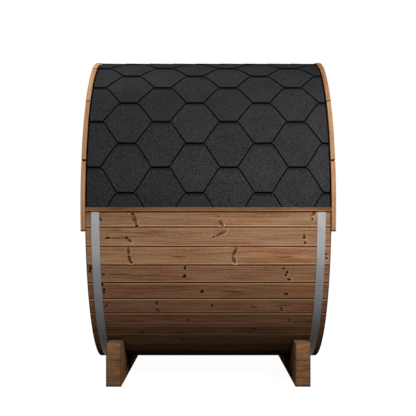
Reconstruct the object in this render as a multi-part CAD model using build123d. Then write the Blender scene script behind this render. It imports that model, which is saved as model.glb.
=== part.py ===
from build123d import *
import math
import os

# Barrel sauna: a coopered timber barrel lying on two cradles, with shingles over its upper half,
# curved trim on its ends and a glazed door in one of them.
# The barrel's axis runs along X, Z is up, and the origin is on the ground under the middle.
# Angles round the barrel start at its front, on the -Y side, and rise towards the crown.

# Barrel of flat-faced staves
barrel_apothem = 1028.0
stave_length = 1500.0
stave_thickness = 42.0
stave_joint = 0.4
stave_chamfer = 5.0
tongue_root_half_width = 9.0
tongue_tip_half_width = 6.0
tongue_length = 6.0
ground_clearance = 105.0
stave_count = 54
stave_groups = (
    "front_upper_staves",
    "top_staves",
    "back_upper_staves",
    "back_lower_staves",
    "bottom_staves",
    "front_lower_staves",
)

# Steel bands round the barrel
band_width = 50.0
band_thickness = 1.5
band_inset = 36.0

# Cradles
cradle_thickness = 96.0
cradle_length = 1550.0
cradle_height = 279.0
cradle_band_gap = 14.0

# Roof of lapped shingle courses
shingle_butt = 8.0
shingle_head = 4.5
eave_course_height = 85.1
course_exposure = 158.4
course_joint = 0.4
roof_end_gap = 3.0
ridge_least_share = 0.5

# Battens along the eaves
batten_height = 23.6
batten_thickness = 10.5
batten_rise = 2.2

# Curved trim on the ends of the barrel
trim_thickness = 26.0
trim_depth = 95.0
trim_reveal = 6.0
trim_drop = 145.5
trim_foot_length = 440.0
trim_joint = 0.4
trim_open_joint = 13.0
trim_side_segments = 4
trim_open_segment = 1

# End walls of upright boards, held in a groove round the inside of the staves
wall_thickness = 42.0
wall_inset = 60.0
groove_depth = 10.0
wall_joint = 0.4
wall_chamfer = 3.0
wall_board_count = 15

# Doorway and its frame
doorway_step = 6.0
doorway_crown_gap = 176.0
doorway_board_count = 5
frame_thickness = 30.0
frame_proud = 8.0

# Door leaf
door_gap = 4.0
door_thickness = 42.0
stile_width = 95.0
top_rail_height = 95.0
bottom_rail_height = 150.0
glass_thickness = 8.0
glass_groove = 12.0

# Door fittings
hinge_height = 100.0
hinge_leaf_width = 26.0
hinge_leaf_thickness = 3.0
hinge_pin_diameter = 13.0
hinge_end_distance = 220.0
handle_length = 420.0
handle_width = 32.0
handle_grip = 30.0
handle_finger_gap = 32.0
handle_foot_length = 70.0

# Slatted floor
floor_rise = 160.0
slat_thickness = 22.0
slat_width = 90.0
slat_gap = 12.0
slat_edge_margin = 30.0
slat_end_gap = 4.0
bearer_thickness = 45.0
bearer_end_inset = 70.0
bearer_count = 3

# Clearance of a seated piece, and how far a cut runs past a face
seat_clearance = 0.3
cut_overrun = 10.0

# Angles
full_turn = 360.0
half_turn = full_turn / 2
crown_angle = half_turn / 2

# Sizes worked out from the ones above
half_pitch = math.radians(half_turn / stave_count)
half_length = stave_length / 2
axis_height = ground_clearance + barrel_apothem
inner_apothem = barrel_apothem - stave_thickness
middle_apothem = barrel_apothem - stave_thickness / 2


def stave_half_width(apothem):
    """Half the width of a stave at a distance from the barrel's axis."""
    return apothem * math.tan(half_pitch) - stave_joint / 2


corner_radius = math.hypot(barrel_apothem, stave_half_width(barrel_apothem) - stave_chamfer)
seat_radius = corner_radius + seat_clearance
band_apothem = barrel_apothem + seat_clearance
band_low = half_length - band_inset - band_width
cradle_low = band_low - cradle_band_gap - cradle_thickness
roof_radius = seat_radius + shingle_butt
trim_radius = roof_radius + trim_reveal
wall_radius = inner_apothem + groove_depth - seat_clearance
wall_outer = half_length - wall_inset
wall_inner = wall_outer - wall_thickness
board_pitch = 2 * wall_radius / wall_board_count
doorway_half_width = board_pitch * doorway_board_count / 2
floor_level = floor_rise - inner_apothem
doorway_bottom = floor_level + doorway_step
doorway_top = inner_apothem - doorway_crown_gap
frame_outer = wall_outer + frame_proud
frame_inner = wall_inner - frame_proud
leaf_half_width = doorway_half_width - frame_thickness - door_gap
leaf_bottom = doorway_bottom + frame_thickness + door_gap
leaf_top = doorway_top - frame_thickness - door_gap
leaf_inner = frame_outer - door_thickness


def arc_angle(length, radius):
    """Angle in degrees that a length covers round a radius."""
    return math.degrees(length / radius)


def along_barrel(section, start, length):
    """Extrude a section that lies across the barrel's axis, from start and over length."""
    return Pos(start, 0, 0) * extrude(section, amount=length, dir=(1, 0, 0))


def block(low, high):
    """A rectangular block between two corners."""
    size = [top - bottom for bottom, top in zip(low, high)]
    return Pos(*low) * Box(*size, align=(Align.MIN, Align.MIN, Align.MIN))


def turned(shape, angle):
    """A shape made at the barrel's front, turned up round the axis by an angle."""
    return Rot(-angle, 0, 0) * shape


def at_both_ends(shape):
    """The shape at the +X end and its mirror image at the -X end."""
    return {"right": shape, "left": mirror(shape, about=Plane.YZ)}


def at_front_and_back(shape):
    """The shape on the -Y side and its mirror image on the +Y side."""
    return {"front": shape, "back": mirror(shape, about=Plane.XZ)}


def sector(inner_radius, outer_low, outer_high, low_angle, high_angle):
    """Section of a curved strip whose thickness runs evenly from its low edge to its high edge."""

    def point(radius, angle):
        turn = math.radians(angle)
        return (-radius * math.cos(turn), radius * math.sin(turn))

    middle_angle = (low_angle + high_angle) / 2
    outer_middle = (outer_low + outer_high) / 2
    with BuildSketch(Plane.YZ) as section:
        with BuildLine():
            inside = ThreePointArc(
                point(inner_radius, low_angle),
                point(inner_radius, middle_angle),
                point(inner_radius, high_angle),
            )
            outside = ThreePointArc(
                point(outer_low, low_angle),
                point(outer_middle, middle_angle),
                point(outer_high, high_angle),
            )
            Line(inside @ 0, outside @ 0)
            Line(inside @ 1, outside @ 1)
        make_face()
    return section.sketch


def stave_section():
    """Section of one stave, its face towards the front, with a tongue below and its groove above."""

    def edge_point(apothem, side, drop):
        radial = -apothem - side * drop * math.sin(half_pitch)
        return (radial, side * stave_half_width(apothem) - drop * math.cos(half_pitch))

    edges = []
    for side in (-1, 1):
        edges.append([
            (-barrel_apothem, side * (stave_half_width(barrel_apothem) - stave_chamfer)),
            edge_point(barrel_apothem - stave_chamfer, side, 0),
            edge_point(middle_apothem + tongue_root_half_width, side, 0),
            edge_point(middle_apothem + tongue_tip_half_width, side, tongue_length),
            edge_point(middle_apothem - tongue_tip_half_width, side, tongue_length),
            edge_point(middle_apothem - tongue_root_half_width, side, 0),
            edge_point(inner_apothem, side, 0),
        ])
    lower_edge, upper_edge = edges
    return Plane.YZ * Polygon(*lower_edge, *reversed(upper_edge), align=None)


def stave():
    """One stave at the front, with the two grooves that hold the end walls."""
    body = along_barrel(stave_section(), -half_length, stave_length)
    half_width = stave_half_width(barrel_apothem) + cut_overrun
    groove = block(
        (wall_inner - seat_clearance, -inner_apothem - groove_depth, -half_width),
        (wall_outer + seat_clearance, -inner_apothem + cut_overrun, half_width),
    )
    for cutter in at_both_ends(groove).values():
        body -= cutter
    return body


def staves():
    """All the staves round the barrel, in groups, with a joint at the height of the axis."""
    groups = {name: [] for name in stave_groups}
    pattern = stave()
    for index in range(stave_count):
        name = stave_groups[index * len(stave_groups) // stave_count]
        groups[name].append(turned(pattern, full_turn * (index + 1 / 2) / stave_count))
    return groups


def band_ring(clearance):
    """A strip bent round the flat staves where the right band lies, with room over and beside it."""
    outside = RegularPolygon(band_apothem + band_thickness + clearance, stave_count, major_radius=False)
    inside = RegularPolygon(band_apothem, stave_count, major_radius=False)
    return along_barrel(Plane.YZ * (outside - inside), band_low - clearance, band_width + 2 * clearance)


def bands():
    """The two steel bands that hold the staves together."""
    ring = band_ring(0)
    return {f"{end}_band": [shape] for end, shape in at_both_ends(ring).items()}


def clear_of_bands(shape):
    """The shape with a shallow relief where it passes over the two bands."""
    relief = band_ring(seat_clearance)
    for cutter in at_both_ends(relief).values():
        shape -= cutter
    return shape


def cradles():
    """The two cradles: flat soles, flat shoulders and a seat cut to the barrel."""
    blank = Pos(0, -axis_height + cradle_height / 2) * Rectangle(cradle_length, cradle_height)
    profile = Plane.YZ * (blank - Circle(seat_radius))
    cradle = along_barrel(profile, cradle_low, cradle_thickness)
    return {f"{end}_cradle": [shape] for end, shape in at_both_ends(cradle).items()}


def course_edges():
    """Angles of the edges between courses, from the eave to the ridge, on the front slope."""
    eave = math.degrees(math.asin((batten_rise + seat_clearance) / seat_radius))
    first = eave + arc_angle(eave_course_height, roof_radius)
    step = arc_angle(course_exposure, roof_radius)
    count = math.floor((crown_angle - first) / step - ridge_least_share)
    return [eave] + [first + step * index for index in range(count + 1)]


def roof():
    """Lapped shingle courses on both slopes and a cap along the ridge."""
    edges = course_edges()
    joint = arc_angle(course_joint, roof_radius)
    start = -half_length + roof_end_gap
    length = stave_length - 2 * roof_end_gap
    head_radius = seat_radius + shingle_head
    slopes = {"front": [], "back": []}
    for low, high in zip(edges, edges[1:]):
        section = sector(seat_radius, roof_radius, head_radius, low, high - joint)
        course = clear_of_bands(along_barrel(section, start, length))
        for side, shape in at_front_and_back(course).items():
            slopes[side].append(shape)
    cap = sector(seat_radius, roof_radius, roof_radius, edges[-1], half_turn - edges[-1])
    return {
        "front_roof_courses": slopes["front"],
        "back_roof_courses": slopes["back"],
        "roof_ridge_cap": [clear_of_bands(along_barrel(cap, start, length))],
    }


def eave_battens():
    """The battens that close the lower edges of the roof, over the bands."""
    low = (-half_length, -seat_radius - batten_thickness, batten_rise - batten_height)
    high = (half_length, -seat_radius, batten_rise)
    batten = clear_of_bands(block(low, high))
    return {f"{side}_eave_batten": [shape] for side, shape in at_front_and_back(batten).items()}


def trim_joint_angles():
    """Angles of the ends and joints of the trim, from its front foot up to the crown."""
    foot = -arc_angle(trim_drop, trim_radius)
    first = foot + arc_angle(trim_foot_length, trim_radius)
    upper_count = trim_side_segments - 1
    span = (crown_angle - first) / upper_count
    return [foot] + [first + span * index for index in range(trim_side_segments)]


def trim_segment(index):
    """One curved length of trim on the right end, counted up from the front foot of the trim."""
    angles = trim_joint_angles()
    inner_radius = trim_radius - trim_depth
    ends = []
    for joint_index in (index, index + 1):
        gap = trim_open_joint if joint_index == trim_open_segment else trim_joint
        half_gap = arc_angle(gap / 2, trim_radius) if joint_index > 0 else 0
        ends.append((angles[joint_index], half_gap))
    low = ends[0][0] + ends[0][1]
    high = ends[1][0] - ends[1][1]
    section = sector(inner_radius, trim_radius, trim_radius, low, high)
    return along_barrel(section, half_length, trim_thickness)


def trim():
    """Curved trim on both ends of the barrel, in lengths that meet at the crown."""
    nodes = {}
    for index in range(trim_side_segments):
        for end, end_shape in at_both_ends(trim_segment(index)).items():
            for side, shape in at_front_and_back(end_shape).items():
                nodes.setdefault(f"{end}_{side}_trim", []).append(shape)
    return nodes


def wall_board(index, low, high):
    """One upright board of the right end wall between two heights, cut to the round of the wall."""
    centre = board_pitch * (index + 1 / 2) - wall_radius
    strip = Pos(centre, (low + high) / 2) * Rectangle(board_pitch - wall_joint, high - low)
    board = along_barrel(Plane.YZ * (Circle(wall_radius) & strip), wall_inner, wall_thickness)
    for side in (-1, 1):
        edge = centre + side * (board_pitch - wall_joint) / 2
        corner = Plane.XY * Pos(wall_outer, edge) * Rot(0, 0, half_turn / 4)
        bevel = corner * Rectangle(wall_chamfer * math.sqrt(2), wall_chamfer * math.sqrt(2))
        board -= Pos(0, 0, -wall_radius) * extrude(bevel, amount=2 * wall_radius, dir=(0, 0, 1))
    return board


def end_wall():
    """The closed wall at the left end."""
    boards = [wall_board(index, -wall_radius, wall_radius) for index in range(wall_board_count)]
    return {"end_wall_boards": [mirror(board, about=Plane.YZ) for board in boards]}


def door_wall():
    """The wall at the right end, with boards beside, over and under the doorway."""
    first = (wall_board_count - doorway_board_count) // 2
    last = first + doorway_board_count
    front = [wall_board(index, -wall_radius, wall_radius) for index in range(first)]
    back = [wall_board(index, -wall_radius, wall_radius) for index in range(last, wall_board_count)]
    over = [wall_board(index, doorway_top + wall_joint, wall_radius) for index in range(first, last)]
    under = [wall_board(index, -wall_radius, doorway_bottom - wall_joint) for index in range(first, last)]
    return {
        "door_wall_front_boards": front,
        "door_wall_back_boards": back,
        "door_wall_over_boards": over,
        "door_wall_under_boards": under,
    }


def door_frame():
    """Jambs, head and sill that line the doorway."""
    half = doorway_half_width
    jamb_half = half - frame_thickness
    jamb = block((frame_inner, -half, doorway_bottom), (frame_outer, -jamb_half, doorway_top))
    head_low = (frame_inner, -jamb_half, doorway_top - frame_thickness)
    sill_high = (frame_outer, jamb_half, doorway_bottom + frame_thickness)
    nodes = {f"door_jamb_{side}": [shape] for side, shape in at_front_and_back(jamb).items()}
    nodes["door_head"] = [block(head_low, (frame_outer, jamb_half, doorway_top))]
    nodes["door_sill"] = [block((frame_inner, -jamb_half, doorway_bottom), sill_high)]
    return nodes


def door_leaf():
    """Stiles, rails and the pane of glass that sits in their grooves."""
    glass_half_width = leaf_half_width - stile_width + glass_groove - seat_clearance
    glass_bottom = leaf_bottom + bottom_rail_height - glass_groove + seat_clearance
    glass_top = leaf_top - top_rail_height + glass_groove - seat_clearance
    glass_inner = leaf_inner + (door_thickness - glass_thickness) / 2
    glass_outer = glass_inner + glass_thickness
    glass = block((glass_inner, -glass_half_width, glass_bottom), (glass_outer, glass_half_width, glass_top))
    room = seat_clearance
    groove = block(
        (glass_inner - room, -glass_half_width - room, glass_bottom - room),
        (glass_outer + room, glass_half_width + room, glass_top + room),
    )
    clear_half = leaf_half_width - stile_width
    stile = block((leaf_inner, -leaf_half_width, leaf_bottom), (frame_outer, -clear_half, leaf_top)) - groove
    top_low = (leaf_inner, -clear_half, leaf_top - top_rail_height)
    bottom_high = (frame_outer, clear_half, leaf_bottom + bottom_rail_height)
    top_rail = block(top_low, (frame_outer, clear_half, leaf_top)) - groove
    bottom_rail = block((leaf_inner, -clear_half, leaf_bottom), bottom_high) - groove
    return {
        "door_stiles": list(at_front_and_back(stile).values()),
        "door_rails": [top_rail, bottom_rail],
        "door_glass": [glass],
    }


def door_hinges():
    """Two hinges on the outside of the leaf and the front jamb."""
    pin_y = -leaf_half_width - door_gap / 2
    hinges = []
    for height in (leaf_bottom + hinge_end_distance, leaf_top - hinge_end_distance):
        low = (frame_outer, pin_y - hinge_leaf_width, height - hinge_height / 2)
        high = (frame_outer + hinge_leaf_thickness, pin_y + hinge_leaf_width, height + hinge_height / 2)
        knuckle = Cylinder(hinge_pin_diameter / 2, hinge_height)
        hinges.append(block(low, high) + Pos(frame_outer + hinge_pin_diameter / 2, pin_y, height) * knuckle)
    return {"door_hinges": hinges}


def door_handle():
    """A timber pull, outside on the back stile, with an arched gap for the fingers."""
    depth = handle_finger_gap + handle_grip
    middle = (leaf_bottom + leaf_top) / 2
    finger_half = handle_length / 2 - handle_foot_length
    with BuildSketch(Plane.XZ) as outline:
        with Locations((frame_outer + depth / 2, middle)):
            Rectangle(depth, handle_length)
        with Locations((frame_outer + handle_finger_gap / 2, middle)):
            Rectangle(handle_finger_gap, 2 * finger_half, mode=Mode.SUBTRACT)
        outer_corners = outline.vertices().group_by(Axis.X)[-1]
        chamfer(outer_corners, length=handle_grip / 2)
    handle = extrude(outline.sketch, amount=handle_width / 2, both=True)
    return {"door_handle": [Pos(0, leaf_half_width - stile_width / 2, 0) * handle]}


def floor():
    """Slats along the barrel on bearers cut to its round."""
    bearer_top = floor_level - slat_thickness
    bearer_radius = inner_apothem - seat_clearance
    lower_part = Pos(0, bearer_top - bearer_radius) * Rectangle(2 * bearer_radius, 2 * bearer_radius)
    bearer_section = Plane.YZ * (Circle(bearer_radius) & lower_part)
    first_bearer = -wall_inner + bearer_end_inset
    bearer_step = (2 * wall_inner - 2 * bearer_end_inset - bearer_thickness) / (bearer_count - 1)
    bearers = []
    for index in range(bearer_count):
        bearers.append(along_barrel(bearer_section, first_bearer + bearer_step * index, bearer_thickness))
    half_chord = math.sqrt(bearer_radius**2 - bearer_top**2) - slat_edge_margin
    slat_step = slat_width + slat_gap
    slat_count = math.floor((2 * half_chord + slat_gap) / slat_step)
    first_slat = -(slat_step * slat_count - slat_gap) / 2
    slat_half_length = wall_inner - frame_proud - slat_end_gap
    slats = []
    for index in range(slat_count):
        edge = first_slat + slat_step * index
        low = (-slat_half_length, edge, bearer_top)
        slats.append(block(low, (slat_half_length, edge + slat_width, floor_level)))
    return {"floor_bearers": bearers, "floor_slats": slats}


def main():
    """Build every node and write it out at its height above the ground."""
    os.makedirs("parts", exist_ok=True)
    groups = (staves, bands, cradles, roof, eave_battens, trim, end_wall, door_wall)
    groups += (door_frame, door_leaf, door_hinges, door_handle, floor)
    for group in groups:
        for name, shapes in group().items():
            raised = [Pos(0, 0, axis_height) * solid for shape in shapes for solid in shape.solids()]
            export_step(Compound(raised), f"parts/{name}.step")


main()
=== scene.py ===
"""Dresses the barrel sauna: shingles, bands, knots, screws, the finish of every board, and a white studio."""
import math
import random

import bpy
from bpy.props import FloatProperty, FloatVectorProperty, IntProperty, PointerProperty
from mathutils import Matrix, Vector


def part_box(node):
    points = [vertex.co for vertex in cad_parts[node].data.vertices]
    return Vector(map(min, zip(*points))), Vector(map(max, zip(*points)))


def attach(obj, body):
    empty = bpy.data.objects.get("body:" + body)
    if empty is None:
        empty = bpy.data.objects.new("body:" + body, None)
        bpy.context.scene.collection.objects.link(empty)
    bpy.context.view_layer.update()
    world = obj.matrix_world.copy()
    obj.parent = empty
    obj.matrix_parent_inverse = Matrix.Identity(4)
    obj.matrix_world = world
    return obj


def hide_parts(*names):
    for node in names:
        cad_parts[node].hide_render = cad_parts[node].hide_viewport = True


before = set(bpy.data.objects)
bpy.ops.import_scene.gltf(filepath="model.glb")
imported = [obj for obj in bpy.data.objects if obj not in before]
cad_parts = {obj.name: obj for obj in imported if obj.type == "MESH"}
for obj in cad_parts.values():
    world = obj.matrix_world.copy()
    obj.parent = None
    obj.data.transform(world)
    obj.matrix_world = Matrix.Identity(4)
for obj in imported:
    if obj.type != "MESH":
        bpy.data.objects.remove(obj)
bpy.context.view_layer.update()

bl_info = {
    "name": "Barrel Sauna",
    "version": (1, 0, 0),
    "blender": (4, 5, 0),
    "location": "View3D > Sidebar > Sauna",
    "description": "Lays the shingles, fits the bands and finishes the boards of a barrel sauna",
    "category": "Object",
}

BODY = "root"
FULL_TURN = 2 * math.pi
RIGHT_ANGLE = math.pi / 2


# Places read from the frame
def corners(node):
    """Lowest and highest corner of a node, in metres."""
    low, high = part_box(node)
    return Vector(low), Vector(high)


BAND_LOW, BAND_HIGH = corners("left_band")
BARREL_LOW, BARREL_HIGH = corners("bottom_staves")
ROOF_HIGH = corners("roof_ridge_cap")[1]
BATTEN_LOW, BATTEN_HIGH = corners("front_eave_batten")
TRIM_LOW, TRIM_HIGH = corners("right_front_trim")
WALL_HIGH = corners("end_wall_boards")[1]
CRADLE_LOW, CRADLE_HIGH = corners("left_cradle")
AXIS_HEIGHT = (BAND_LOW.z + BAND_HIGH.z) / 2
STAVE_APOTHEM = AXIS_HEIGHT - BARREL_LOW.z
STAVE_HALF_LENGTH = BARREL_HIGH.x
ROOF_RADIUS = ROOF_HIGH.z - AXIS_HEIGHT
ROOF_HALF_LENGTH = ROOF_HIGH.x
TRIM_RADIUS = TRIM_HIGH.z - AXIS_HEIGHT
TRIM_FOOT_ANGLE = math.asin((TRIM_LOW.z - AXIS_HEIGHT) / TRIM_RADIUS)
WALL_RADIUS = WALL_HIGH.y
CRADLE_HEIGHT = CRADLE_HIGH.z
CRADLE_HALF_LENGTH = CRADLE_HIGH.y
CRADLE_MIDDLE = -(CRADLE_LOW.x + CRADLE_HIGH.x) / 2
CRADLE_HALF_THICKNESS = (CRADLE_HIGH.x - CRADLE_LOW.x) / 2


# Settings
class SaunaSizes(bpy.types.PropertyGroup):
    """Sizes of the pieces that are laid over the solids."""

    stave_count: IntProperty(name="Staves", description="Boards round the barrel", default=54, min=12)
    wall_board_count: IntProperty(
        name="Wall boards", description="Upright boards in an end wall", default=15, min=3)
    tab_pitch: FloatProperty(
        name="Tab pitch", description="Distance from tab to tab along a course", default=0.419, unit="LENGTH")
    tab_flat: FloatProperty(
        name="Tab flat", description="Width of a tab at its lower edge", default=0.112, unit="LENGTH")
    tab_wide: FloatProperty(
        name="Tab width", description="Width of a tab where it joins its strip", default=0.305, unit="LENGTH")
    tab_offset: FloatProperty(
        name="Tab offset", description="Middle of a tab of the first course", default=-0.084, unit="LENGTH")
    course_exposure: FloatProperty(
        name="Exposure", description="Height of a course that shows", default=0.1584, unit="LENGTH")
    eave_course_height: FloatProperty(
        name="Eave course", description="Height of the cut course over the batten",
        default=0.0854, unit="LENGTH")
    flat_lip: FloatProperty(
        name="Lower lip", description="Width of the black cut edge under a tab",
        default=0.0095, unit="LENGTH")
    slant_lip: FloatProperty(
        name="Slant lip", description="Width of the black cut edge beside a tab",
        default=0.0088, unit="LENGTH")
    tab_rise: FloatProperty(
        name="Tab rise", description="How far a tab's lower edge stands up", default=0.003, unit="LENGTH")
    # Painted shadow on the strip under each lap.
    lap_shade: FloatProperty(
        name="Lap shade", description="Height of the shadowed strip under a lap", default=0.024, unit="LENGTH")
    cap_length: FloatProperty(
        name="Cap exposure", description="Length of a ridge cap that shows", default=0.166, unit="LENGTH")
    band_thickness: FloatProperty(
        name="Band thickness", description="Thickness of a steel band", default=0.0015, unit="LENGTH")
    screw_radius: FloatProperty(
        name="Screw head", description="Radius of a trim screw's head", default=0.0042, unit="LENGTH")
    trim_foot_length: FloatProperty(
        name="Trim foot", description="Length of the lowest piece of trim round its arc",
        default=0.440, unit="LENGTH")
    trim_upper_count: IntProperty(
        name="Upper trim", description="Pieces of trim above the lowest one", default=3, min=1)
    knot_seed: IntProperty(name="Knot seed", description="Chooses the knots on the other sides", default=11)


class SaunaColours(bpy.types.PropertyGroup):
    """Colours of the finishes, linear."""

    stave: FloatVectorProperty(
        name="Staves", description="Oiled cedar of the barrel",
        default=(0.300, 0.150, 0.078), subtype="COLOR")
    trim: FloatVectorProperty(
        name="Trim", description="Oiled cedar of the end trim",
        default=(0.380, 0.189, 0.090), subtype="COLOR")
    batten: FloatVectorProperty(
        name="Batten", description="Oiled cedar of the eave battens",
        default=(0.168, 0.080, 0.038), subtype="COLOR")
    cradle: FloatVectorProperty(
        name="Cradle", description="Stained timber of the cradles",
        default=(0.138, 0.070, 0.033), subtype="COLOR")
    wall: FloatVectorProperty(
        name="Walls", description="Oiled cedar of the end walls",
        default=(0.310, 0.165, 0.086), subtype="COLOR")
    door: FloatVectorProperty(
        name="Door", description="Oiled cedar of the door and frame",
        default=(0.335, 0.178, 0.092), subtype="COLOR")
    floor: FloatVectorProperty(
        name="Floor", description="Bare cedar of the floor slats",
        default=(0.360, 0.220, 0.125), subtype="COLOR")
    knot: FloatVectorProperty(
        name="Knots", description="Heart of a knot", default=(0.030, 0.015, 0.008), subtype="COLOR")
    shingle: FloatVectorProperty(
        name="Shingles", description="Mineral face of the shingles",
        default=(0.0230, 0.0230, 0.0245), subtype="COLOR")
    shingle_edge: FloatVectorProperty(
        name="Shingle edges", description="Cut bitumen edge",
        default=(0.0022, 0.0022, 0.0026), subtype="COLOR")
    band: FloatVectorProperty(
        name="Bands", description="Satin steel of the bands", default=(0.360, 0.366, 0.378), subtype="COLOR")
    fitting: FloatVectorProperty(
        name="Fittings", description="Satin steel of hinges and screws",
        default=(0.20, 0.20, 0.205), subtype="COLOR")
    glass: FloatVectorProperty(
        name="Glass", description="Tint of the door's pane", default=(0.62, 0.55, 0.48), subtype="COLOR")


class SaunaStage(bpy.types.PropertyGroup):
    """Camera, lamps and background."""

    camera_distance: FloatProperty(
        name="Camera distance", description="From the barrel's middle to the lens",
        default=6.757, unit="LENGTH")
    camera_height: FloatProperty(
        name="Camera height", description="Height of the lens over the ground", default=1.0134, unit="LENGTH")
    lens: FloatProperty(name="Lens", description="Focal length in millimetres", default=81.5)
    frame_rise: FloatProperty(name="Frame rise", description="Lens shift upwards", default=0.0464)
    frame_side: FloatProperty(name="Frame side", description="Lens shift sideways", default=-0.0007)
    lamp_height: FloatProperty(
        name="Lamp height", description="Angle of the lamps over the ground", default=math.radians(34),
        subtype="ANGLE")
    lamp_softness: FloatProperty(
        name="Lamp softness", description="Angle that a lamp fills",
        default=math.radians(30), subtype="ANGLE")
    front_light: FloatProperty(name="Front light", description="Strength of the front lamp", default=1.5)
    near_light: FloatProperty(
        name="Near light", description="Power of the near lamp, in watts", default=110.0)
    near_size: FloatProperty(
        name="Near lamp size", description="Width of the near lamp", default=1.2, unit="LENGTH")
    near_place: FloatVectorProperty(
        name="Near lamp place", description="Where the near lamp stands",
        default=(1.9, -3.2, 2.65), subtype="XYZ")
    back_light: FloatProperty(name="Back light", description="Strength of the back lamp", default=3.0)
    back_lamp_height: FloatProperty(
        name="Back lamp height", description="Angle of the back lamp over the ground",
        default=math.radians(18), subtype="ANGLE")
    side_light: FloatProperty(name="Side light", description="Strength of each side lamp", default=2.2)
    side_lamp_height: FloatProperty(
        name="Side lamp height", description="Angle of the side lamps over the ground",
        default=math.radians(7), subtype="ANGLE")
    room_light: FloatProperty(
        name="Room light", description="Strength of the light from all round", default=0.042)
    high_light: FloatProperty(name="High light", description="Power of the high lamp, in watts", default=12.0)
    high_size: FloatProperty(
        name="High lamp size", description="Width of the high lamp", default=1.0, unit="LENGTH")
    high_place: FloatVectorProperty(
        name="High lamp place", description="Where the high lamp hangs",
        default=(-1.5, -0.9, 3.4), subtype="XYZ")
    floor_white: FloatProperty(name="Floor white", description="White of the floor in shadow", default=0.955)
    floor_shadow: FloatProperty(
        name="Floor shadow", description="Depth of the shadow on the floor", default=0.10)
    floor_bounce: FloatProperty(
        name="Floor bounce", description="Light that the floor throws back", default=0.045)
    floor_size: FloatProperty(
        name="Floor size", description="Side of the floor", default=120.0, unit="LENGTH")


def sizes():
    """Sizes that a user can change."""
    return bpy.context.scene.sauna_sizes


def colours():
    """Colours that a user can change."""
    return bpy.context.scene.sauna_colours


def stage():
    """Camera and lamps that a user can change."""
    return bpy.context.scene.sauna_stage


# Finishes

# Colour sockets of a mix node.
MIX_FIRST, MIX_SECOND, MIX_RESULT = 6, 7, 2

# Range that most of a noise lies in.
NOISE_LOW, NOISE_HIGH = 0.3, 0.7


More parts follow.
